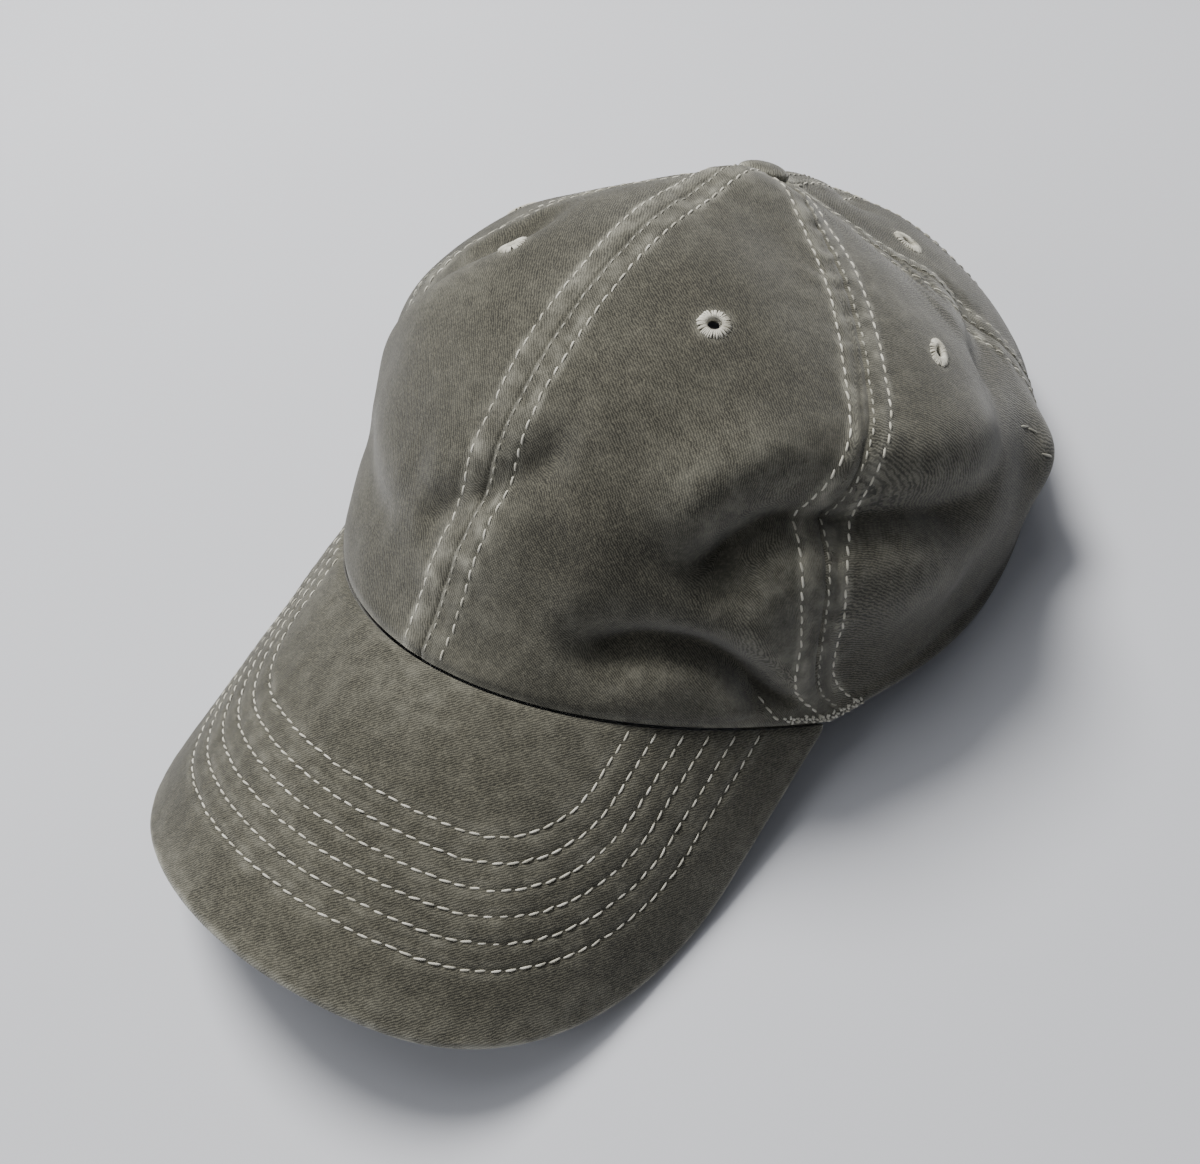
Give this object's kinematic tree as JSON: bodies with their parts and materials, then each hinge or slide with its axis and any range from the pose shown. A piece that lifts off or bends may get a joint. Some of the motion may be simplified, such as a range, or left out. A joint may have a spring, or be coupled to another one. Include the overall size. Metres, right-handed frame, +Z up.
{
  "type": "baseball cap",
  "caption": "Unstructured low-profile washed twill cap with a curved stitched brim, embroidered eyelets, covered top button and a rear strap with a flip-lever buckle.",
  "frame": {"origin": "centre of the bounding box's footprint, on the surface that the cap lies on", "axes": "+Z up off the surface, -Y towards the brim, +X towards the wearer's left"},
  "size_m": [0.1702, 0.2707, 0.0952],
  "materials": {
    "crown_twill": "washed cotton twill, faded along the seams",
    "brim_twill": "washed cotton twill, faded along the edge",
    "seam_tape": "plain woven cotton tape",
    "thread": "off-white embroidery thread",
    "sweatband_cloth": "soft washed cotton",
    "label_cloth": "blank woven label",
    "brim_board": "flexible polyethylene board",
    "strap_twill": "folded and stitched cotton twill",
    "buckle_metal": "brushed, antique plated",
    "rivet_metal": "plain zinc"
  },
  "bodies": {
    "cap": {"front_panel_left": "crown_twill", "front_panel_right": "crown_twill", "side_panel_left": "crown_twill", "side_panel_right": "crown_twill", "back_panel_left": "crown_twill", "back_panel_right": "crown_twill", "seam_tape_front": "seam_tape", "seam_tape_side_left": "seam_tape", "seam_tape_side_right": "seam_tape", "seam_tape_back_left": "seam_tape", "seam_tape_back_right": "seam_tape", "seam_tape_rear": "seam_tape", "front_eyelet_left": "thread", "front_eyelet_right": "thread", "side_eyelet_left": "thread", "side_eyelet_right": "thread", "back_eyelet_left": "thread", "back_eyelet_right": "thread", "sweatband": "sweatband_cloth", "inner_label": "label_cloth", "brim_cover_top": "brim_twill", "brim_cover_bottom": "brim_twill", "brim_board": "brim_board", "arch_binding": "seam_tape", "strap": "strap_twill", "strap_tab": "strap_twill", "buckle_frame": "buckle_metal", "buckle_pin": "buckle_metal", "button_cover": "crown_twill", "button_rivet": "rivet_metal"},
    "lever": {"buckle_lever": "buckle_metal"}
  },
  "joints": [
    {"name": "buckle_lever_hinge", "type": "hinge", "parent": "cap", "child": "lever", "pos_m": [0.0055, 0.12998, 0.01327], "axis": [0, 0.3071, -0.9517], "range_deg": [0, 110]}
  ]
}
